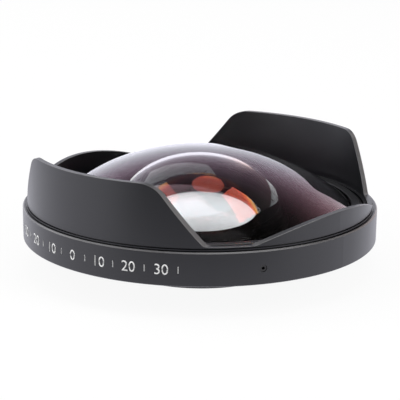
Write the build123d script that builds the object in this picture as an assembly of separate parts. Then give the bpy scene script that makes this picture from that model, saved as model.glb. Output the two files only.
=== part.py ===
from build123d import *
from math import sqrt
import os

# Add-on fisheye converter with a petal hood.
# Millimetres. The optical axis is Z and the front faces up. The origin is the
# centre of the rear end face of the male filter thread. The two tall petals of
# the hood stand over +Y and -Y, the two low ones over +X and -X.

# Outer ring, the band that carries the scale and the hood's set screws
ring_radius = 43.0
ring_height = 7.75
ring_wall = 1.8
ring_top_chamfer = 0.3
ring_bottom_chamfer = 0.15
ring_lip_thickness = 0.8
ring_lip_reach = 1.75

# Male filter thread at the rear and its shoulder
mount_thread_radius = 21.5
mount_thread_length = 3.0
mount_wall = 1.05
mount_shoulder_reach = 2.5
mount_shoulder_height = 2.2
mount_lip_reach = 1.0
mount_lip_thickness = 0.8
mount_chamfer = 0.35
mount_edge_chamfer = 0.2

# Lens body, a turned pan with a neck behind it
rear_length = 7.75
neck_wall = 2.2
neck_lip_reach = 2.2
neck_lip_thickness = 0.5
body_floor_thickness = 2.55
body_belly_step = 3.4
body_waist_step = 0.5
seat_wall_gap = 0.3
seat_wall_thickness = 0.85
seat_wall_drop = 0.3

# Front glass, a deep meniscus with a conical blackened back
dome_radius = 57.8
glass_rim_drop = 1.27
glass_edge_height = 3.0
glass_seat_width = 1.0
glass_bevel = 0.2
glass_centre_thickness = 4.5
cavity_radius = 25.0
glass_back_land = 1.2
glass_back_gap = 0.35

# Gasket under the front glass
seal_thickness = 0.5
seal_width = 0.9

# Threaded ring that holds the front glass
retainer_wall = 0.85
retainer_lip_reach = 1.0
retainer_lip_thickness = 0.6
retainer_lip_gap = 0.12
retainer_thread_length = 2.7
retainer_edge_chamfer = 0.12
spanner_slot_width = 1.6
spanner_slot_depth = 0.7
spanner_slot_reach = 0.9

# Petal hood
hood_step = 1.13
hood_taper = 0.14
hood_wall = 1.27
hood_flange_reach = 0.33
hood_flange_height = 0.28
hood_flange_gap = 0.12
hood_groove_depth = 0.3
hood_groove_height = 0.2
hood_edge_radius = 0.12
skirt_wall = 1.17
valley_rise = 0.85
tall_petal_rise = 13.65
tall_petal_corner_radius = 5.6
petal_root_radius = 1.5
short_petal_rise = 4.45

# Half widths of the petals, as shares of the hood's outer radius
tall_petal_tip_share = 0.4526
tall_petal_root_share = 0.6735
short_petal_share = 0.5278

# Hood set screws
screw_count = 3
screw_first_angle = -30.0
screw_radius = 0.8
screw_rise = 1.15
screw_sink = 0.2
screw_socket_radius = 0.4
screw_socket_depth = 0.8
screw_point_length = 0.35
screw_point_radius = 0.5
screw_groove_depth = 0.25
screw_groove_width = 1.9
screw_groove_bite = 0.12

# Rear cell and the glass in it
cell_wall = 1.5
cell_lip_thickness = 0.3
cell_lip_reach = 0.9
cell_rear_height = 0.3
shim_thickness = 0.2
second_front_radius = 120.0
second_back_radius = 90.0
second_thickness = 1.1
spacer_thickness = 0.55
spacer_width = 0.7
crown_front_radius = 80.0
crown_edge_thickness = 0.48
cement_radius = 250.0
flint_thickness = 1.0
rear_ring_thickness = 0.69
rear_ring_reach = 1.25
rear_slot_depth = 0.35

# Thin black stop between the front glass and the rear cell
stop_reach = 0.8
stop_margin = 0.4
stop_thickness = 0.15

# Screws that hold the filter thread ring on the neck
mount_screw_count = 3
mount_screw_first_angle = 30.0
mount_screw_radius = 0.7
mount_screw_sink = 0.15
mount_screw_point_radius = 0.45
mount_screw_point_length = 0.3
mount_screw_socket_radius = 0.35
mount_screw_socket_depth = 0.8

# Clearances
running_clearance = 0.08
thread_clearance = 0.05
seat_clearance = 0.1
screw_clearance = 0.03
overrun = 1.0


def sag(surface_radius, rim_radius):
    """Depth of a spherical surface between its apex and a rim."""
    return surface_radius - sqrt(surface_radius**2 - rim_radius**2)


# Radii from the outer ring inwards to the front glass
ring_bore_radius = ring_radius - ring_wall
body_flange_radius = ring_bore_radius - thread_clearance
body_spigot_radius = ring_bore_radius - ring_lip_reach - thread_clearance
body_belly_radius = body_spigot_radius - body_belly_step
hood_root_radius = ring_radius - hood_step
hood_tip_radius = hood_root_radius - hood_taper
hood_bore_radius = hood_root_radius - hood_wall
hood_flange_radius = hood_root_radius + hood_flange_reach
skirt_radius = ring_bore_radius - running_clearance
skirt_bore_radius = skirt_radius - skirt_wall
seat_wall_radius = skirt_bore_radius - seat_wall_gap
seat_wall_bore_radius = seat_wall_radius - seat_wall_thickness
retainer_thread_radius = seat_wall_bore_radius - thread_clearance
glass_seat_radius = retainer_thread_radius - retainer_wall
glass_radius = glass_seat_radius - seat_clearance
retainer_lip_radius = glass_radius - retainer_lip_reach
screw_point_distance = skirt_radius - screw_groove_bite

# Radii from the filter thread inwards to the rear glass
mount_shoulder_radius = mount_thread_radius + mount_shoulder_reach
body_waist_radius = mount_shoulder_radius + body_waist_step
mount_bore_radius = mount_thread_radius - mount_wall
neck_radius = mount_bore_radius - thread_clearance
mount_lip_radius = neck_radius - mount_lip_reach
neck_bore_radius = neck_radius - neck_wall
neck_lip_radius = neck_bore_radius - neck_lip_reach
stop_bore_radius = neck_lip_radius - stop_reach
cell_radius = neck_bore_radius - thread_clearance
cell_bore_radius = cell_radius - cell_wall
cell_lip_radius = cell_bore_radius - cell_lip_reach
element_radius = cell_bore_radius - thread_clearance
spacer_bore_radius = element_radius - spacer_width
rear_ring_bore_radius = element_radius - rear_ring_reach

# Heights of the rear stack, from its retaining ring up to the front glass
mount_shoulder_top = mount_thread_length + mount_shoulder_height
mount_screw_height = mount_thread_length + mount_shoulder_height / 2
body_waist_height = mount_shoulder_top + seat_clearance
neck_bottom = mount_lip_thickness
flint_back_height = cell_rear_height + rear_ring_thickness
cement_height = flint_back_height + flint_thickness
crown_bulge = sag(crown_front_radius, element_radius) + sag(cement_radius, element_radius)
crown_apex_height = cement_height + crown_edge_thickness + crown_bulge
spacer_bottom = crown_apex_height - sag(crown_front_radius, spacer_bore_radius)
spacer_top = spacer_bottom + spacer_thickness
second_back_height = spacer_top + sag(second_back_radius, element_radius)
second_apex_height = second_back_height + second_thickness
cell_lip_bottom = second_apex_height - sag(second_front_radius, cell_lip_radius)
cell_top = cell_lip_bottom + cell_lip_thickness
neck_lip_bottom = cell_top + shim_thickness
neck_lip_top = neck_lip_bottom + neck_lip_thickness
glass_back_height = neck_lip_top + glass_back_gap

# Heights of the ring, the hood and the front glass
ring_bottom = rear_length
ring_top = ring_bottom + ring_height
body_flange_bottom = ring_bottom + ring_lip_thickness
channel_floor = ring_bottom + body_floor_thickness
screw_height = channel_floor + screw_rise
seat_wall_top = ring_top - seat_wall_drop
valley_height = ring_top + valley_rise
tall_petal_height = valley_height + tall_petal_rise
short_petal_height = valley_height + short_petal_rise
glass_edge_top = ring_top - glass_rim_drop
glass_seat_height = glass_edge_top - glass_edge_height
seal_bottom = glass_seat_height - seal_thickness
dome_apex_height = glass_edge_top + glass_bevel + sag(dome_radius, glass_radius)

# The hollow behind the front glass, and what lies under the glass's back
cavity_top = dome_apex_height - glass_centre_thickness
cavity_centre_height = cavity_top - cavity_radius
cavity_mouth_radius = sqrt(cavity_radius**2 - (glass_back_height - cavity_centre_height) ** 2)
glass_back_radius = cavity_mouth_radius + glass_back_land
stop_radius = glass_back_radius - stop_margin


def dome_height(rim_radius):
    """Height of the front glass's outer surface at a distance from the axis."""
    return dome_apex_height - sag(dome_radius, rim_radius)


retainer_lip_bottom = dome_height(retainer_lip_radius) + retainer_lip_gap
retainer_top_height = retainer_lip_bottom + retainer_lip_thickness
retainer_bottom = retainer_top_height - retainer_thread_length


def turned(*outline):
    """Solid of revolution about Z from a closed outline of lines and arcs."""
    half_section = make_face(Curve() + list(outline))
    return revolve(Plane.XZ * half_section, Axis.Z)


def turned_polygon(*points):
    """Solid of revolution about Z from the corners of its half section."""
    return turned(Polyline(*points, close=True))


def round_the_axis(solid, count, first_angle):
    """Copies of one solid spaced evenly round the optical axis."""
    return [Rot(0, 0, first_angle + turn * 360 / count) * solid for turn in range(count)]


def radial_hole(radius, inner_radius, outer_radius, height):
    """Round cutter along +X through a wall, past both of its faces."""
    place = Plane(origin=(inner_radius - overrun, 0, height), z_dir=(1, 0, 0))
    return extrude(place * Circle(radius), outer_radius - inner_radius + 2 * overrun)


def spanner_slots(inner_radius, outer_radius, face_height, depth):
    """Pair of opposite cuts across a ring's face for a pin spanner."""
    length = outer_radius - inner_radius
    centre = (outer_radius + inner_radius) / 2
    slot = Pos(centre, 0, face_height) * Box(length, spanner_slot_width, 2 * depth)
    return round_the_axis(slot, 2, 0)


def set_screw(radius, inner_end, outer_end, height, point, socket):
    """Headless screw along +X with a blunt point and a hexagon socket."""
    point_radius, point_length = point
    socket_radius, socket_depth = socket
    length = outer_end - inner_end
    outline = Polyline(
        (0, 0),
        (point_radius, 0),
        (radius, point_length),
        (radius, length),
        (0, length),
        close=True,
    )
    shank = turned(outline)
    hexagon = RegularPolygon(socket_radius, 6)
    recess = Pos(0, 0, length - socket_depth) * extrude(hexagon, socket_depth + overrun)
    return Pos(inner_end, 0, height) * Rot(0, 90, 0) * (shank - recess)


def outer_ring():
    """Band with a lip at its foot that pulls up under the lens body's flange."""
    lip_radius = ring_bore_radius - ring_lip_reach
    band = turned_polygon(
        (lip_radius, ring_bottom),
        (ring_radius - ring_bottom_chamfer, ring_bottom),
        (ring_radius, ring_bottom + ring_bottom_chamfer),
        (ring_radius, ring_top - ring_top_chamfer),
        (ring_radius - ring_top_chamfer, ring_top),
        (ring_bore_radius, ring_top),
        (ring_bore_radius, ring_bottom + ring_lip_thickness),
        (lip_radius, ring_bottom + ring_lip_thickness),
    )
    hole = radial_hole(screw_radius + screw_clearance, ring_bore_radius, ring_radius, screw_height)
    return band - round_the_axis(hole, screw_count, screw_first_angle)


def lens_body():
    """Pan that seats the front glass, with the neck that takes the rear cell."""
    seat_bore_radius = glass_radius - glass_seat_width - seat_clearance
    cone_foot_radius = glass_back_radius + glass_back_gap
    return turned_polygon(
        (neck_bore_radius, neck_bottom),
        (neck_radius, neck_bottom),
        (neck_radius, body_waist_height),
        (body_waist_radius, body_waist_height),
        (body_belly_radius, ring_bottom),
        (body_spigot_radius, ring_bottom),
        (body_spigot_radius, body_flange_bottom),
        (body_flange_radius, body_flange_bottom),
        (body_flange_radius, channel_floor),
        (seat_wall_radius, channel_floor),
        (seat_wall_radius, seat_wall_top),
        (seat_wall_bore_radius, seat_wall_top),
        (seat_wall_bore_radius, retainer_bottom - thread_clearance),
        (glass_seat_radius, retainer_bottom - thread_clearance),
        (glass_seat_radius, seal_bottom),
        (seat_bore_radius, seal_bottom),
        (cone_foot_radius, neck_lip_top),
        (neck_lip_radius, neck_lip_top),
        (neck_lip_radius, neck_lip_bottom),
        (neck_bore_radius, neck_lip_bottom),
    )


def front_element():
    """Front glass, a meniscus with a spherical dome and a wide hollow behind it."""
    half_mouth = cavity_mouth_radius / 2
    half_mouth_height = cavity_top - sag(cavity_radius, half_mouth)
    mouth = (cavity_mouth_radius, glass_back_height)
    bevel_radius = glass_radius - glass_bevel
    half_dome = bevel_radius / 2
    return turned(
        Line((0, dome_apex_height), (0, cavity_top)),
        ThreePointArc((0, cavity_top), (half_mouth, half_mouth_height), mouth),
        Polyline(
            mouth,
            (glass_back_radius, glass_back_height),
            (glass_radius - glass_seat_width, glass_seat_height),
            (glass_radius, glass_seat_height),
            (glass_radius, glass_edge_top),
            (bevel_radius, dome_height(bevel_radius)),
        ),
        ThreePointArc(
            (bevel_radius, dome_height(bevel_radius)),
            (half_dome, dome_height(half_dome)),
            (0, dome_apex_height),
        ),
    )


def front_seal():
    """Flat gasket between the glass and its seat."""
    return turned_polygon(
        (glass_radius - seal_width, seal_bottom),
        (glass_radius, seal_bottom),
        (glass_radius, glass_seat_height),
        (glass_radius - seal_width, glass_seat_height),
    )


def front_retaining_ring():
    """Threaded ring whose lip follows the dome and covers the glass's rim."""
    lip_foot_height = dome_height(glass_seat_radius) + retainer_lip_gap
    ring = turned_polygon(
        (glass_seat_radius, retainer_bottom),
        (retainer_thread_radius, retainer_bottom),
        (retainer_thread_radius, retainer_top_height - retainer_edge_chamfer),
        (retainer_thread_radius - retainer_edge_chamfer, retainer_top_height),
        (retainer_lip_radius + retainer_edge_chamfer, retainer_top_height),
        (retainer_lip_radius, retainer_top_height - retainer_edge_chamfer),
        (retainer_lip_radius, retainer_lip_bottom),
        (glass_seat_radius, lip_foot_height),
    )
    slot_foot = retainer_thread_radius - spanner_slot_reach
    slot_end = retainer_thread_radius + overrun
    return ring - spanner_slots(slot_foot, slot_end, retainer_top_height, spanner_slot_depth)


def tall_petal_outline():
    """Front view of a tall petal: straight flanks and rounded top corners."""
    root = hood_root_radius * tall_petal_root_share
    tip = hood_root_radius * tall_petal_tip_share
    foot = root + (root - tip) / tall_petal_rise * overrun
    outline = Polyline(
        (-foot, valley_height - overrun),
        (-tip, tall_petal_height),
        (tip, tall_petal_height),
        (foot, valley_height - overrun),
        close=True,
    )
    face = make_face(outline)
    return fillet(face.vertices().sort_by(Axis.Y)[-2:], tall_petal_corner_radius)


def short_petal_outline():
    """Side view of a low petal: one flat arch."""
    half = hood_root_radius * short_petal_share
    arch = ThreePointArc((-half, valley_height), (0, short_petal_height), (half, valley_height))
    base = Polyline(
        (half, valley_height),
        (half, valley_height - overrun),
        (-half, valley_height - overrun),
        (-half, valley_height),
    )
    return make_face(arch + base)


def hood_tube():
    """Turned blank of the hood: skirt with a screw groove, flange and thin wall."""
    flange_bottom = ring_top + hood_flange_gap
    flange_top = flange_bottom + hood_flange_height
    groove_top = flange_top + hood_groove_height
    groove_radius = hood_root_radius - hood_groove_depth
    screw_groove_radius = skirt_radius - screw_groove_depth
    screw_groove_top = screw_height + screw_groove_width / 2
    screw_groove_foot = screw_height - screw_groove_width / 2
    return turned_polygon(
        (skirt_bore_radius, channel_floor),
        (skirt_radius, channel_floor),
        (skirt_radius, screw_groove_foot - screw_groove_depth),
        (screw_groove_radius, screw_groove_foot),
        (screw_groove_radius, screw_groove_top),
        (skirt_radius, screw_groove_top + screw_groove_depth),
        (skirt_radius, flange_bottom),
        (hood_flange_radius, flange_bottom),
        (hood_flange_radius, flange_top),
        (groove_radius, flange_top),
        (groove_radius, groove_top),
        (hood_root_radius, groove_top),
        (hood_tip_radius, tall_petal_height + overrun),
        (hood_tip_radius - hood_wall, tall_petal_height + overrun),
        (hood_bore_radius, ring_top),
        (skirt_bore_radius, ring_top),
    )


def petal_hood():
    """Thin turned tube whose front edge is cut into two tall and two low petals.

    One straight pass along Y shapes both tall petals and one along X shapes
    both low arches, so opposite petals are always alike.
    """
    reach = hood_flange_radius + overrun
    band = Pos(0, 0, channel_floor) * extrude(Circle(reach), valley_height - channel_floor)
    tall_pass = extrude(Plane.XZ * tall_petal_outline(), reach, both=True)
    short_pass = extrude(Plane.YZ * short_petal_outline(), reach, both=True)
    envelope = band + tall_pass + short_pass
    lowest = valley_height - hood_edge_radius
    highest = valley_height + hood_edge_radius
    roots = envelope.edges().filter_by(Axis.Y).filter_by_position(Axis.Z, lowest, highest)
    envelope = fillet(roots, petal_root_radius)
    hood = hood_tube() & envelope
    return fillet([edge for edge in hood.edges() if is_rim(edge)], hood_edge_radius)


def is_rim(edge):
    """Whether an edge runs along the hood's cut rim, inside or outside."""
    lowest = min(edge.start_point().Z, edge.end_point().Z)
    return edge.geom_type != GeomType.LINE and lowest > valley_height - hood_edge_radius


def hood_screws():
    """Three set screws whose points sit in the groove of the hood's skirt."""
    point = (screw_point_radius, screw_point_length)
    socket = (screw_socket_radius, screw_socket_depth)
    outer_end = ring_radius - screw_sink
    screw = set_screw(screw_radius, screw_point_distance, outer_end, screw_height, point, socket)
    return round_the_axis(screw, screw_count, screw_first_angle)


def mount_ring():
    """Male filter thread with a shoulder, on the neck."""
    ring = turned_polygon(
        (mount_lip_radius, 0),
        (mount_thread_radius - mount_chamfer, 0),
        (mount_thread_radius, mount_chamfer),
        (mount_thread_radius, mount_thread_length),
        (mount_shoulder_radius - mount_edge_chamfer, mount_thread_length),
        (mount_shoulder_radius, mount_thread_length + mount_edge_chamfer),
        (mount_shoulder_radius, mount_shoulder_top - mount_edge_chamfer),
        (mount_shoulder_radius - mount_edge_chamfer, mount_shoulder_top),
        (mount_bore_radius, mount_shoulder_top),
        (mount_bore_radius, mount_lip_thickness),
        (mount_lip_radius, mount_lip_thickness),
    )
    hole_radius = mount_screw_radius + screw_clearance
    hole = radial_hole(hole_radius, mount_bore_radius, mount_shoulder_radius, mount_screw_height)
    return ring - round_the_axis(hole, mount_screw_count, mount_screw_first_angle)


def mount_screws():
    """Set screws that clamp the thread ring on the neck."""
    point = (mount_screw_point_radius, mount_screw_point_length)
    socket = (mount_screw_socket_radius, mount_screw_socket_depth)
    outer_end = mount_shoulder_radius - mount_screw_sink
    screw = set_screw(mount_screw_radius, mount_bore_radius, outer_end, mount_screw_height, point, socket)
    return Compound(children=round_the_axis(screw, mount_screw_count, mount_screw_first_angle))


def rear_cell():
    """Threaded tube that holds the rear glass against a lip at its front."""
    cell = turned_polygon(
        (cell_bore_radius, cell_rear_height),
        (cell_radius, cell_rear_height),
        (cell_radius, cell_top),
        (cell_lip_radius, cell_top),
        (cell_lip_radius, cell_lip_bottom),
        (cell_bore_radius, cell_lip_bottom),
    )
    slot_end = cell_radius + overrun
    slot_foot = (cell_radius + cell_bore_radius) / 2
    return cell - spanner_slots(slot_foot, slot_end, cell_rear_height, rear_slot_depth)


def cell_shim():
    """Thin washer that sets the distance from the rear cell to the front glass."""
    return turned_polygon(
        (neck_lip_radius, cell_top),
        (cell_radius, cell_top),
        (cell_radius, neck_lip_bottom),
        (neck_lip_radius, neck_lip_bottom),
    )


def glare_stop():
    """Thin black annulus behind the flat back of the front glass."""
    return turned_polygon(
        (stop_bore_radius, neck_lip_top),
        (stop_radius, neck_lip_top),
        (stop_radius, neck_lip_top + stop_thickness),
        (stop_bore_radius, neck_lip_top + stop_thickness),
    )


def surface_arc(apex_height, surface_radius, bulge):
    """Half profile of a spherical surface, bulging up with bulge 1 or down with -1."""
    half_rim = element_radius / 2
    middle = (half_rim, apex_height - bulge * sag(surface_radius, half_rim))
    rim = (element_radius, apex_height - bulge * sag(surface_radius, element_radius))
    return ThreePointArc((0, apex_height), middle, rim)


def second_element():
    """Weak meniscus at the front of the rear cell, curved towards the front."""
    front = surface_arc(second_apex_height, second_front_radius, 1)
    back = surface_arc(second_back_height, second_back_radius, 1)
    return lens(front, back)


def crown_element():
    """Front half of the cemented pair, bulging both ways."""
    front = surface_arc(crown_apex_height, crown_front_radius, 1)
    back = surface_arc(cement_height, cement_radius, -1)
    return lens(front, back)


def flint_element():
    """Rear half of the cemented pair, hollow in front and flat behind."""
    front = surface_arc(cement_height, cement_radius, -1)
    back = Line((0, flint_back_height), (element_radius, flint_back_height))
    return lens(front, back)


def lens(front, back):
    """Round glass between two half profiles that start on the axis."""
    axis_line = Line(front @ 0, back @ 0)
    edge_line = Line(front @ 1, back @ 1)
    return turned(front, edge_line, back, axis_line)


def element_spacer():
    """Ring between the weak meniscus and the cemented pair."""
    return turned_polygon(
        (spacer_bore_radius, spacer_bottom),
        (element_radius, spacer_bottom),
        (element_radius, spacer_top),
        (spacer_bore_radius, spacer_top),
    )


def rear_retaining_ring():
    """Threaded ring that closes the rear cell behind the cemented pair."""
    ring = turned_polygon(
        (rear_ring_bore_radius, cell_rear_height),
        (element_radius, cell_rear_height),
        (element_radius, flint_back_height),
        (rear_ring_bore_radius, flint_back_height),
    )
    slot_foot = rear_ring_bore_radius - overrun
    slot_end = (rear_ring_bore_radius + element_radius) / 2
    return ring - spanner_slots(slot_foot, slot_end, cell_rear_height, rear_slot_depth)


def main():
    """Write each piece to its own file."""
    os.makedirs("parts", exist_ok=True)
    pieces = {
        "petal_hood": petal_hood(),
        "outer_ring": outer_ring(),
        "front_retaining_ring": front_retaining_ring(),
        "front_element": front_element(),
        "front_seal": front_seal(),
        "lens_body": lens_body(),
        "glare_stop": glare_stop(),
        "cell_shim": cell_shim(),
        "rear_cell": rear_cell(),
        "second_element": second_element(),
        "element_spacer": element_spacer(),
        "crown_element": crown_element(),
        "flint_element": flint_element(),
        "rear_retaining_ring": rear_retaining_ring(),
        "mount_ring": mount_ring(),
        "mount_screws": mount_screws(),
    }
    for number, screw in enumerate(hood_screws(), start=1):
        pieces[f"hood_screw_{number}"] = screw
    for name, solid in pieces.items():
        export_step(solid, f"parts/{name}.step")


main()
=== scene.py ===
import math

import bmesh
import bpy
from mathutils import Matrix, Vector


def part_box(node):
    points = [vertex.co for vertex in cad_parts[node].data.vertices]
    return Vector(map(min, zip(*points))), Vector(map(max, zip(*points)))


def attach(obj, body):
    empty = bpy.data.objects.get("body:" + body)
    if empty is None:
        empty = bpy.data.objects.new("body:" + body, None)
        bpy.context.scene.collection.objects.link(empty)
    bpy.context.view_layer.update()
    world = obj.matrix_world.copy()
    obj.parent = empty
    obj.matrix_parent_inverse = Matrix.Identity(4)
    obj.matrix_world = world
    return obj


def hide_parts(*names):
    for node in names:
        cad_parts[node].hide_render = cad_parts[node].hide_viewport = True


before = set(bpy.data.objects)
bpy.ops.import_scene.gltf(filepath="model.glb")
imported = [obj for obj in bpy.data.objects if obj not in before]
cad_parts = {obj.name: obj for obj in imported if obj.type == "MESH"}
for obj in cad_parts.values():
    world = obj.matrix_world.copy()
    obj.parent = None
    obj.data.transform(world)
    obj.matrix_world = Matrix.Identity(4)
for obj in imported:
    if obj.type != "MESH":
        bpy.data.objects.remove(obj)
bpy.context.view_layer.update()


# Camera. A long lens, 340 mm from the axis of the ring, about 16 degrees up
# and 41 degrees round from the near tall petal.
mm = 0.001
camera_turn = math.radians(41.105)
camera_rise = math.radians(16.453)
camera_tilt = math.radians(15.171)
camera_roll = math.radians(0.558)
camera_distance = 340.21 * mm
camera_target_height = 7.75 * mm

camera_data = bpy.data.cameras.new("camera")
camera_data.sensor_fit = "HORIZONTAL"
camera_data.sensor_width = 36
camera_data.lens = 124.5
camera = bpy.data.objects.new("camera", camera_data)
bpy.context.scene.collection.objects.link(camera)
ground_distance = camera_distance * math.cos(camera_rise)
camera_height = camera_distance * math.sin(camera_rise) + camera_target_height
round_to_camera = Matrix.Rotation(camera_turn, 4, "Z")
camera_place = round_to_camera @ Vector((0, -ground_distance, camera_height))
camera_aim = (
    round_to_camera
    @ Matrix.Rotation(math.pi / 2 - camera_tilt, 4, "X")
    @ Matrix.Rotation(camera_roll, 4, "Z")
)
camera.matrix_world = Matrix.Translation(camera_place) @ camera_aim
bpy.context.scene.camera = camera
bpy.context.scene.view_settings.view_transform = "Standard"


# Filter thread ring and its screws. Turned aluminium, black anodised, with a
# single V thread. It is pushed on the neck and clamped by three set screws.
class Level:
    """A number or vector that varies over a surface: an output of one node of a finish."""

    def __init__(self, finish, socket):
        self.finish = finish
        self.socket = socket

    def __add__(self, other):
        return self.finish.math("ADD", self, other)

    def __sub__(self, other):
        return self.finish.math("SUBTRACT", self, other)

    def __rsub__(self, other):
        return self.finish.math("SUBTRACT", other, self)

    def __mul__(self, other):
        return self.finish.math("MULTIPLY", self, other)

    def __truediv__(self, other):
        return self.finish.math("DIVIDE", self, other)

    def __pow__(self, other):
        return self.finish.math("POWER", self, other)

    __radd__ = __add__
    __rmul__ = __mul__


class Finish:
    """Surface of one kind of piece, as a node tree."""

    def __init__(self, name, tree=None):
        if tree is None:
            self.material = bpy.data.materials.new(name)
            self.material.use_nodes = True
            tree = self.material.node_tree
        self.tree = tree
        tree.nodes.clear()

    def node(self, kind, settings=None, sockets=None):
        """Adds a node, sets it up and feeds its sockets with values or links."""
        made = self.tree.nodes.new(kind)
        for key, value in (settings or {}).items():
            setattr(made, key, value)
        for key, value in (sockets or {}).items():
            target = made.inputs[key]
            if isinstance(value, Level):
                value = value.socket
            if isinstance(value, bpy.types.NodeSocket):
                self.tree.links.new(value, target)
            else:
                target.default_value = value
        return made

    def level(self, kind, settings=None, sockets=None, output=0):
        return Level(self, self.node(kind, settings, sockets).outputs[output])

    def math(self, operation, *values):
        return self.level("ShaderNodeMath", {"operation": operation}, dict(enumerate(values)))

    def step(self, value, low, high):
        """Rises smoothly from 0 at low to 1 at high, or falls if low is above high."""
        if low > high:
            return 1 - self.step(value, high, low)
        sockets = {"Value": value, "From Min": low, "From Max": high}
        return self.level("ShaderNodeMapRange", {"interpolation_type": "SMOOTHSTEP"}, sockets)

    def spot(self):
        """Where the shaded point is, in Object coordinates."""
        return self.level("ShaderNodeTexCoord", output="Object")

    def split(self, vector):
        """The three parts of a vector."""
        parts = self.node("ShaderNodeSeparateXYZ", None, {0: vector}).outputs
        return [Level(self, part) for part in parts]

    def noise(self, vector, per_metre, detail):
        sockets = {"Vector": vector, "Scale": per_metre, "Detail": detail}
        return self.level("ShaderNodeTexNoise", None, sockets)

    def blend(self, factor, first, second):
        """Colour between two colours, which are sockets 6 and 7 of a Mix node."""
        sockets = {0: factor, 6: first, 7: second}
        return self.node("ShaderNodeMix", {"data_type": "RGBA"}, sockets).outputs[2]

    def bump(self, height, distance, strength):
        sockets = {"Height": height, "Distance": distance, "Strength": strength}
        return self.node("ShaderNodeBump", None, sockets).outputs[0]

    def surface(self, **sockets):
        """Principled shader, its sockets named with underscores for spaces."""
        named = {key.replace("_", " "): value for key, value in sockets.items()}
        return self.node("ShaderNodeBsdfPrincipled", None, named).outputs[0]

    def mixed(self, factor, first, second):
        """The first shader where the factor is 0, and the second where it is 1."""
        return self.node("ShaderNodeMixShader", None, {0: factor, 1: first, 2: second}).outputs[0]

    def finish(self, shader):
        self.node("ShaderNodeOutputMaterial", None, {0: shader})
        return self.material


def anodised(name, shade, roughness, turning=0.0, wear_and_highlight=0.0):
    """Black anodised aluminium: fine blasted grain, faint turning lines, bare edges: partly wear, partly
    painted highlight.
    """
    skin = Finish(name)
    spot = skin.spot()
    x, y, z = skin.split(spot)
    radius = (x * x + y * y) ** 0.5
    grain = skin.noise(spot, per_metre=5200, detail=3.0)
    cloud = skin.noise(spot, per_metre=95, detail=2.0)
    turned = skin.level("ShaderNodeCombineXYZ", None, {0: radius, 1: z, 2: 0.0})
    lines = skin.noise(turned, per_metre=7800, detail=3.0)

    # An edge faces neither out from the axis, as a wall does, nor along it.
    normal_x, normal_y, _ = skin.split(skin.level("ShaderNodeTexCoord", output="Normal"))
    outward = skin.math("ABSOLUTE", (normal_x * x + normal_y * y) / radius)
    edge = skin.step(outward, 0.97, 0.9) * skin.step(outward, 0.12, 0.3)
    # Bare metal on the edges: partly wear, partly a painted highlight along the rims.
    worn_highlit_edge = edge * (0.6 + cloud * 0.8) * wear_and_highlight

    lighter = tuple(part * 1.35 for part in shade[:3]) + (1,)
    bare_metal_highlight = (0.6, 0.59, 0.6, 1)
    shader = skin.surface(
        Base_Color=skin.blend(worn_highlit_edge, skin.blend(cloud, shade, lighter), bare_metal_highlight),
        Metallic=worn_highlit_edge,
        Roughness=roughness + (cloud - 0.5) * 0.08 + (grain - 0.5) * 0.06 - worn_highlit_edge * 0.1,
        Normal=skin.bump(grain * (1 - turning) + lines * turning, 0.012 * mm, 0.5),
    )
    return skin.finish(shader)


def grained(name, per_metre, detail, dark, light, roughness, rougher, depth, strength, **sockets):
    """A finish of one even grain, which is lighter and rougher where it stands up."""
    skin = Finish(name)
    grain = skin.noise(skin.spot(), per_metre, detail)
    shader = skin.surface(
        Base_Color=skin.blend(grain, dark, light),
        Roughness=roughness + grain * rougher,
        Normal=skin.bump(grain, depth, strength),
        **sockets,
    )
    return skin.finish(shader)


def smooth_but_for_corners(bm, corner_angle=0.35):
    for face in bm.faces:
        face.smooth = True
    for edge in bm.edges:
        edge.smooth = not (edge.is_manifold and edge.calc_face_angle() > corner_angle)


def new_piece(name, bm, *materials):
    """Makes an object of a finished bmesh, with its place in the mesh."""
    mesh = bpy.data.meshes.new(name)
    bm.to_mesh(mesh)
    bm.free()
    piece = bpy.data.objects.new(name, mesh)
    bpy.context.scene.collection.objects.link(piece)
    for material in materials:
        mesh.materials.append(material)
    return piece


def dress(node, material):
    """Gives a CAD piece its finish."""
    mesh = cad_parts[node].data
    mesh.materials.clear()
    mesh.materials.append(material)


turned_black = anodised("turned_black", (0.003, 0.003, 0.0035, 1), roughness=0.33, turning=0.7)
black_steel = grained(
    "black_steel",
    per_metre=3000,
    detail=2.0,
    dark=(0.02, 0.02, 0.022, 1),
    light=(0.06, 0.058, 0.056, 1),
    roughness=0.3,
    rougher=0.2,
    depth=0.01 * mm,
    strength=0.4,
    Metallic=0.85,
)

thread_crest = 21.5 * mm
thread_root = 21.04 * mm
thread_pitch = 0.75 * mm
thread_turns = 3.75
thread_steps = 360
shoulder_bottom = 3.0 * mm
ridge_half_width = 0.33 * mm
crest_half_width = 0.06 * mm
ridge_sink = 0.1 * mm
weld = 0.0005 * mm
just_over = 1.001  # takes in corners that lie right on a limit

# The CAD's thread is plain and as wide as the crest. Here it is drawn in to
# the root, and one ridge of V section is wound up it.
bm = bmesh.new()
bm.from_mesh(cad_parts["mount_ring"].data)
bmesh.ops.remove_doubles(bm, verts=bm.verts[:], dist=weld)
for corner in bm.verts:
    reach = corner.co.xy.length
    below_shoulder = corner.co.z < shoulder_bottom * just_over
    if below_shoulder and thread_root < reach < thread_crest * just_over:
        corner.co.xy *= thread_root / reach
ridge_section = (
    (thread_root - ridge_sink, -ridge_half_width),
    (thread_crest, -crest_half_width),
    (thread_crest, crest_half_width),
    (thread_root - ridge_sink, ridge_half_width),
)
ridge = bm.faces.new([bm.verts.new((reach, 0, ridge_half_width + rise)) for reach, rise in ridge_section])
bmesh.ops.spin(
    bm,
    geom=[ridge],
    cent=(0, 0, 0),
    axis=(0, 0, 1),
    dvec=(0, 0, thread_pitch * thread_turns / thread_steps),
    angle=math.tau * thread_turns,
    steps=thread_steps,
    use_duplicate=False,
)
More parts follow.
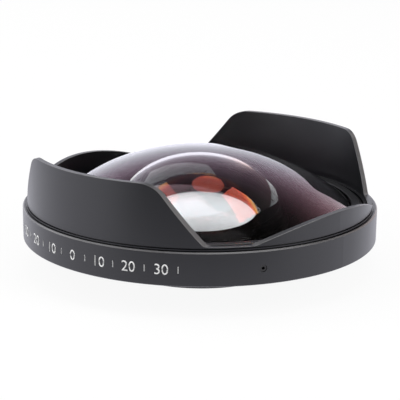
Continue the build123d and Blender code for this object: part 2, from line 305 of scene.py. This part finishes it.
bmesh.ops.recalc_face_normals(bm, faces=bm.faces[:])
smooth_but_for_corners(bm)
threaded_ring = new_piece("threaded_ring", bm, turned_black)
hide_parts("mount_ring")
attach(threaded_ring, "lens")
dress("mount_screws", black_steel)


# Lens body. A black anodised turned pan: the neck takes the rear cell from
# behind, the rim takes the front glass, and a channel takes the hood's skirt.
dress("lens_body", turned_black)


# Rear cell, shim, spacer and retaining ring. Turned rings that set the glass.
# The cell and the spacer are matt black, and the shim is thin, darkened brass.
# The retaining ring screws in from behind and closes the stack.
matt_black = grained(
    "matt_black",
    per_metre=2600,
    detail=3.0,
    dark=(0.006, 0.006, 0.0065, 1),
    light=(0.012, 0.012, 0.013, 1),
    roughness=0.62,
    rougher=0.1,
    depth=0.02 * mm,
    strength=0.6,
    Specular_IOR_Level=0.15,
)
dark_brass = grained(
    "shim_brass",
    per_metre=700,
    detail=4.0,
    dark=(0.012, 0.01, 0.007, 1),
    light=(0.05, 0.036, 0.016, 1),
    roughness=0.45,
    rougher=0.14,
    depth=0.01 * mm,
    strength=0.3,
    Metallic=0.6,
)
dress("rear_cell", matt_black)
dress("cell_shim", dark_brass)
dress("element_spacer", matt_black)
dress("rear_retaining_ring", turned_black)


# Rear glass. A weak meniscus and a cemented crown and flint pair, each ground
# round, polished and coated. They lie in the cell between lip and ring.
crown_index = 1.52
smear_roughness = 0.006
glass_profile_steps = 20
glass_turn_steps = 128
front_face, back_face, black_face = range(3)


def polished(skin, smear, tint, index=crown_index, level=0.5):
    """Clear glass. Its tint is the share of each colour that the coating lets it reflect."""
    return skin.surface(
        Base_Color=(1, 1, 1, 1),
        Roughness=smear * smear_roughness,
        IOR=index,
        Transmission_Weight=1.0,
        Specular_IOR_Level=level,
        Specular_Tint=tint,
    )


def coated_glass(name, index, tint, level):
    skin = Finish(name)
    smear = skin.noise(skin.spot(), per_metre=60, detail=3.0)
    return skin.finish(polished(skin, smear, tint, index, level))


def arc(bm, apex, radius, rim, steps, bulge=1):
    """Half profile of a spherical surface, from the axis to its rim, whose vertex it returns."""
    centre = Vector((0, 0, apex - bulge * radius))
    spun = bmesh.ops.spin(
        bm,
        geom=[bm.verts.new((0, 0, apex))],
        cent=centre,
        axis=(0, 1, 0),
        angle=bulge * math.asin(rim / radius),
        steps=steps,
        use_duplicate=False,
    )
    return next(item for item in spun["geom_last"] if isinstance(item, bmesh.types.BMVert))


def run(bm, start, *points):
    """Straight edges of a half profile from a vertex through (radius, height) points."""
    for radius, height in points:
        corner = bm.verts.new((radius, 0, height))
        bm.edges.new((start, corner))
        start = corner
    return start


def spin_round(bm, steps):
    """Turns the half profile round Z into a closed skin with outward normals."""
    profile = bm.verts[:] + bm.edges[:]
    bmesh.ops.spin(
        bm, geom=profile, cent=(0, 0, 0), axis=(0, 0, 1), angle=math.tau, steps=steps, use_merge=True
    )
    bmesh.ops.remove_doubles(bm, verts=bm.verts[:], dist=weld)
    bmesh.ops.recalc_face_normals(bm, faces=bm.faces[:])
    smooth_but_for_corners(bm)


def round_glass(node, front, back, materials, gap=0.0):
    """Element in place of its CAD solid. Each face is (radius, bulge), a flat one (0, 0)."""
    low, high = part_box(node)
    rim = high.x
    sag = [radius - math.sqrt(radius**2 - rim**2) if radius else 0 for radius, _ in (front, back)]
    top = high.z - (sag[0] if front[1] < 0 else 0)
    bottom = low.z + (sag[1] if back[1] > 0 else 0)
    bm = bmesh.new()
    edge = arc(bm, top, front[0], rim, glass_profile_steps, front[1])
    if back[0]:
        foot = arc(bm, bottom, back[0], rim, glass_profile_steps, back[1])
        bm.edges.new((edge, foot))
    else:
        run(bm, edge, (rim, bottom), (0, bottom))
    spin_round(bm, glass_turn_steps)
    for face in bm.faces:
        if abs(face.normal.z) < 0.5:
            face.material_index = black_face
        else:
            face.material_index = front_face if face.normal.z > 0 else back_face
    if gap:
        bmesh.ops.translate(bm, verts=bm.verts[:], vec=(0, 0, -gap))
    piece = new_piece(node + "_glass", bm, *materials)
    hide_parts(node)
    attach(piece, "lens")


black_edge = grained(
    "edge_paint",
    per_metre=900,
    detail=3.0,
    dark=(0.001, 0.001, 0.001, 1),
    light=(0.0025, 0.0025, 0.0025, 1),
    roughness=0.7,
    rougher=0.1,
    depth=0.01 * mm,
    strength=0.4,
    Specular_IOR_Level=0.0,
)
dense_crown_index = 1.6
flint_index = 1.65
cement_gap = 0.02 * mm  # keeps the two cemented faces from flickering
ember = coated_glass("ember_coating", dense_crown_index, (1.0, 0.22, 0.08, 1), 1.0)
rose = coated_glass("rose_coating", dense_crown_index, (0.9, 0.2, 0.28, 1), 0.8)
teal = coated_glass("teal_coating", crown_index, (0.25, 0.75, 0.8, 1), 0.5)
crown_cement = coated_glass("cemented_face", crown_index, (1, 1, 1, 1), 0.02)
flint_cement = coated_glass("cemented_flint_face", flint_index, (1, 1, 1, 1), 0.02)
flint_back = coated_glass("flint_coating", flint_index, (0.35, 0.8, 0.6, 1), 0.4)

round_glass("second_element", (120 * mm, 1), (90 * mm, 1), (ember, rose, black_edge))
round_glass("crown_element", (80 * mm, 1), (250 * mm, -1), (teal, crown_cement, black_edge))
round_glass("flint_element", (250 * mm, -1), (0, 0), (flint_cement, flint_back, black_edge), cement_gap)


# Stop and gasket. A thin sooty black annulus and a flat black rubber ring,
# both laid in before the front glass goes down on its seat.
soot_black = grained(
    "soot_black",
    per_metre=2600,
    detail=3.0,
    dark=(0.0012, 0.0012, 0.0012, 1),
    light=(0.003, 0.003, 0.003, 1),
    roughness=0.8,
    rougher=0.1,
    depth=0.02 * mm,
    strength=0.6,
    Specular_IOR_Level=0.06,
)
black_rubber = grained(
    "seal_rubber",
    per_metre=1800,
    detail=3.0,
    dark=(0.012, 0.012, 0.012, 1),
    light=(0.022, 0.022, 0.022, 1),
    roughness=0.7,
    rougher=0.15,
    depth=0.02 * mm,
    strength=0.5,
)
dress("glare_stop", soot_black)
dress("front_seal", black_rubber)


# Front glass. A deep meniscus, polished and coated on its dome and in its
# hollow, with the ground back and edge painted black. It lies on the gasket.
dome_radius = 57.8 * mm
centre_thickness = 4.5 * mm
hollow_radius = 25.0 * mm
glass_bevel = 0.2 * mm
seat_width = 1.0 * mm
back_land = 1.2 * mm
edge_height = 3.0 * mm
hollow_margin = 1.005
dome_steps = 64
hollow_steps = 48
front_turn_steps = 256

glass_low, glass_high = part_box("front_element")
glass_rim = glass_high.x
hollow_top = glass_high.z - centre_thickness
hollow_centre = Vector((0, 0, hollow_top - hollow_radius))
hollow_mouth = math.sqrt(hollow_radius**2 - (glass_low.z - hollow_centre.z) ** 2)
edge_top = glass_high.z - dome_radius + math.sqrt(dome_radius**2 - glass_rim**2) - glass_bevel
edge_bottom = edge_top - edge_height


def slant_of(skin):
    """0 where the surface is seen straight on, and 1 where it is seen along its face."""
    return skin.level("ShaderNodeLayerWeight", None, {"Blend": 0.5}, "Facing")


def thin_film(skin, smear, colour):
    """What a coating throws back of one colour, like a tinted mirror."""
    return skin.surface(Base_Color=colour, Metallic=1.0, Roughness=smear * smear_roughness)


# The dome throws back almost nothing straight on, and a violet cast at a slant.
# Each pair says at which slants a change starts and ends.
dome_brightens = (0.5, 0.74)
violet_comes = (0.3, 0.6)
violet_goes = (0.6, 0.82)
violet_strength = 0.06
dome = Finish("dome_glass")
dome_smear = dome.noise(dome.spot(), per_metre=45, detail=3.0)
dome_slant = slant_of(dome)
straight_face = polished(dome, dome_smear, (0.02, 0.012, 0.016, 1))
grazed_face = polished(dome, dome_smear, (0.9, 0.82, 1.0, 1))
bare_dome = dome.mixed(dome.step(dome_slant, *dome_brightens), straight_face, grazed_face)
violet_band = dome.step(dome_slant, *violet_comes) * (1 - dome.step(dome_slant, *violet_goes))
violet_film = thin_film(dome, dome_smear, (1.0, 0.28, 0.6, 1))
dome_glass = dome.finish(dome.mixed(violet_band * violet_strength, bare_dome, violet_film))

# The hollow throws back red straight on, then orange, and blue grey at a slant.
hollow_brightens = (0.09, 0.12)
ember_strengthens = (0.078, 0.092)
ember_turns_orange = (0.086, 0.1)
ember_goes = (0.098, 0.108)
hollow = Finish("hollow_glass")
hollow_smear = hollow.noise(hollow.spot(), per_metre=60, detail=3.0)
hollow_slant = slant_of(hollow)
quiet_face = polished(hollow, hollow_smear, (0.12, 0.15, 0.16, 1))
teal_face = polished(hollow, hollow_smear, (0.64, 0.74, 0.78, 1))
bare_hollow = hollow.mixed(hollow.step(hollow_slant, *hollow_brightens), quiet_face, teal_face)
ember_strength = 0.07 + 0.06 * hollow.step(hollow_slant, *ember_strengthens)
ember_share = (1 - hollow.step(hollow_slant, *ember_goes)) * ember_strength
orange_share = hollow.step(hollow_slant, *ember_turns_orange)
ember_colour = hollow.blend(orange_share, (1.0, 0.1, 0.03, 1), (1.0, 0.4, 0.06, 1))
ember_film = thin_film(hollow, hollow_smear, ember_colour)
hollow_glass = hollow.finish(hollow.mixed(ember_share, bare_hollow, ember_film))

bm = bmesh.new()
rim = arc(bm, glass_high.z, dome_radius, glass_rim - glass_bevel, dome_steps)
foot = run(
    bm,
    rim,
    (glass_rim, edge_top),
    (glass_rim, edge_bottom),
    (glass_rim - seat_width, edge_bottom),
    (hollow_mouth + back_land, glass_low.z),
)
mouth = arc(bm, hollow_top, hollow_radius, hollow_mouth, hollow_steps)
bm.edges.new((foot, mouth))
spin_round(bm, front_turn_steps)
for face in bm.faces:
    middle = face.calc_center_median()
    if (middle - hollow_centre).length < hollow_radius * hollow_margin:
        face.material_index = back_face
    elif middle.z > edge_top + glass_bevel:
        face.material_index = front_face
    else:
        face.material_index = black_face
front_glass = new_piece("front_glass", bm, dome_glass, hollow_glass, black_edge)
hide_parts("front_element")
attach(front_glass, "lens")


# Front retaining ring. Thin turned aluminium, black anodised with its turning
# lines left on. It screws down over the rim of the dome.
dress("front_retaining_ring", turned_black)


# Outer ring. Turned aluminium, blasted and black anodised. It screws on over
# the body's flange, and carries a scale of degrees in white paint.
# Its edges are bare metal, partly wear and partly a painted highlight.
ring_black = anodised("ring_black", (0.003, 0.003, 0.0045, 1), roughness=0.36, wear_and_highlight=0.2)
white_paint = grained(
    "white_paint",
    per_metre=1500,
    detail=3.0,
    dark=(0.74, 0.74, 0.74, 1),
    light=(0.88, 0.88, 0.87, 1),
    roughness=0.5,
    rougher=0.1,
    depth=0.01 * mm,
    strength=0.3,
)
dress("outer_ring", ring_black)

ring_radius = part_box("outer_ring")[1].x
print_height = 2.35 * mm
print_foot = 10.35 * mm
print_lift = 0.02 * mm
print_radius = ring_radius + print_lift
second_sheet_drop = 0.01 * mm
tick_width = 0.22 * mm
tick_height = 1.5 * mm
scale_numbers = {angle: str(abs(angle)) for angle in range(-30, 31, 10)}
scale_ticks = range(-35, 36, 10)


def printed(label):
    """Flat mesh of a number, centred, standing on its foot line, of height 1."""
    curve = bpy.data.curves.new("scale_text", "FONT")
    curve.body = label
    curve.align_x = "CENTER"
    curve.resolution_u = 4
    holder = bpy.data.objects.new("scale_text", curve)
    bpy.context.scene.collection.objects.link(holder)
    bpy.context.view_layer.update()
    mesh = bpy.data.meshes.new_from_object(holder)
    bpy.data.objects.remove(holder)
    height = max(vertex.co.y for vertex in mesh.vertices)
    mesh.transform(Matrix.Scale(1 / height, 4))
    return mesh


bm = bmesh.new()
for angle, label in scale_numbers.items():
    mesh = printed(label)
    mesh.transform(Matrix.Scale(print_height, 4))
    mesh.transform(Matrix.Translation((ring_radius * math.radians(angle), 0, 0)))
    bm.from_mesh(mesh)
    bpy.data.meshes.remove(mesh)
for angle in scale_ticks:
    tick = bmesh.ops.create_grid(bm, x_segments=1, y_segments=1, size=0.5)["verts"]
    bmesh.ops.scale(bm, verts=tick, vec=(tick_width, tick_height, 1))
    middle = (ring_radius * math.radians(angle), print_height / 2, 0)
    bmesh.ops.translate(bm, verts=tick, vec=middle)
bmesh.ops.triangulate(bm, faces=bm.faces[:])
for vertex in bm.verts:
    turn = vertex.co.x / ring_radius
    height = print_foot + vertex.co.y
    vertex.co = (print_radius * math.sin(turn), -print_radius * math.cos(turn), height)
# The faces' normals still point up the ring here, so the print's second sheet
# lies a little lower on the ring, and not deeper in it.
bmesh.ops.solidify(bm, geom=bm.faces[:], thickness=second_sheet_drop)
bmesh.ops.recalc_face_normals(bm, faces=bm.faces[:])
scale = new_piece("degree_scale", bm, white_paint)
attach(scale, "lens")


# Petal hood and its set screws. A thin turned tube whose front edge is milled
# into petals, blasted and black anodised. Three screws hold it in the ring.
# Its edges are bare metal, partly wear and partly a painted highlight.
satin_black = anodised("satin_black", (0.003, 0.003, 0.0045, 1), roughness=0.36, wear_and_highlight=0.22)
dress("petal_hood", satin_black)
for number in (1, 2, 3):
    dress(f"hood_screw_{number}", black_steel)


# Table and light. A white table in a pale room that is dark overhead, to the
# right and behind the camera. Four soft boxes stand round the lens: one high
# up behind it, a round one overhead, and one on each side.
def rays_of(finish):
    """1 for a ray from the camera, one through glass, and any of these or one from a mirror."""
    outputs = finish.node("ShaderNodeLightPath").outputs
    kinds = ("Camera", "Glossy", "Transmission")
    eye, mirror, glass = (Level(finish, outputs[f"Is {kind} Ray"]) for kind in kinds)
    return eye, glass, finish.math("MAXIMUM", eye, finish.math("MAXIMUM", mirror, glass))


def towards_camera(x, y):
    """How far a level place or direction reaches to the camera's side of the lens."""
    return x * math.sin(camera_turn) - y * math.cos(camera_turn)


# The camera, mirrors and glass see the table and the room glow. The light on
# the lens comes from the lamps, and the table keeps a little of its shadow.
glow_share = 0.9
table = Finish("white_table")
from_camera, through_glass, sharp_ray = rays_of(table)
table_x, table_y, _ = table.split(table.spot())
table_radius = (table_x * table_x + table_y * table_y) ** 0.5
near_side = table.step(towards_camera(table_x, table_y) / table_radius, 0.6, 0.86)
unlit = near_side * table.step(table_radius, 60 * mm, 150 * mm)


def glowing(colour, strength):
    return table.node("ShaderNodeEmission", None, {"Color": colour, "Strength": strength}).outputs[0]


pale = (0.96, 0.96, 1.06, 1)
in_mirrors = table.mixed(unlit, glowing(pale, 1.5), glowing(pale, 0.34))
in_glass = glowing((0.94, 0.985, 1.0, 1), 1.3)
to_camera = glowing((1, 1, 1, 1), 1.02)
glow = table.mixed(from_camera, table.mixed(through_glass, in_mirrors, in_glass), to_camera)
matt_top = table.surface(Base_Color=(0.8, 0.8, 0.8, 1), Roughness=0.9)
white_table = table.finish(table.mixed(sharp_ray * glow_share, matt_top, glow))

bm = bmesh.new()
bmesh.ops.create_grid(bm, x_segments=1, y_segments=1, size=1.5)
floor = new_piece("table", bm, white_table)

room = bpy.data.worlds.new("room")
bpy.context.scene.world = room
room.use_nodes = True
sky = Finish("room", room.node_tree)
from_camera, through_glass, sharp_ray = rays_of(sky)
room_x, room_y, rise = sky.split(sky.level("ShaderNodeTexCoord", output="Generated"))
right = room_x * math.cos(camera_turn) + room_y * math.sin(camera_turn)
behind_camera = sky.step(towards_camera(room_x, room_y), 0.45, 0.78)
far_right = sky.step(right, 0.55, 0.78)
ceiling_glow = 0.06
horizon_glow = 1.62
fill_glow = 0.15
wall = (ceiling_glow + horizon_glow * sky.step(rise, 1.0, 0.0)) * (1 - 0.86 * far_right)
wall = wall * (1 - 0.93 * behind_camera) * (1 - 0.25 * through_glass)
warmth = sky.blend(sky.step(right, 0.2, 0.75), (0.97, 0.97, 1.07, 1), (1.0, 0.74, 0.68, 1))


def backdrop(colour, strength):
    return sky.node("ShaderNodeBackground", None, {"Color": colour, "Strength": strength}).outputs[0]


white = (1, 1, 1, 1)
seen_room = sky.mixed(from_camera, backdrop(warmth, wall), backdrop(white, 1.0))
room_light = sky.mixed(sharp_ray, backdrop(white, fill_glow), seen_room)
sky.node("ShaderNodeOutputWorld", None, {0: room_light})


def soft_box(name, middle, right, up, width, height, glow, shape="RECTANGLE"):
    """Flat soft lamp of a set radiance. Its middle and its two sides are as the camera sees them."""
    lamp = bpy.data.lights.new(name, "AREA")
    lamp.shape = shape
    lamp.size = width
    lamp.size_y = height
    lamp.energy = glow * math.pi * width * height
    holder = bpy.data.objects.new(name, lamp)
    bpy.context.scene.collection.objects.link(holder)
    side = Vector(right).normalized()
    top = Vector(up)
    top = (top - side * top.dot(side)).normalized()
    turn = Matrix((side, top, side.cross(top))).transposed().to_4x4()
    holder.matrix_world = round_to_camera @ Matrix.Translation(middle) @ turn


soft_box("back_box", (-0.264, 0.391, 0.809), (0.788, 0.041, 0.614), (-0.264, 0.926, 0.268), 1.34, 0.66, 1.9)
soft_box("top_box", (0.16, -0.2, 0.9), (1, 0, 0), (0, 1, 0), 0.62, 0.5, 2.0, shape="ELLIPSE")
soft_box("left_box", (-0.644, -0.273, 0.5), (0.39, -0.92, 0), (0, 0, 1), 0.71, 0.94, 2.2)
soft_box("right_box", (0.615, -0.334, 0.5), (0.477, 0.879, 0), (0, 0, 1), 0.41, 0.9, 4.5)
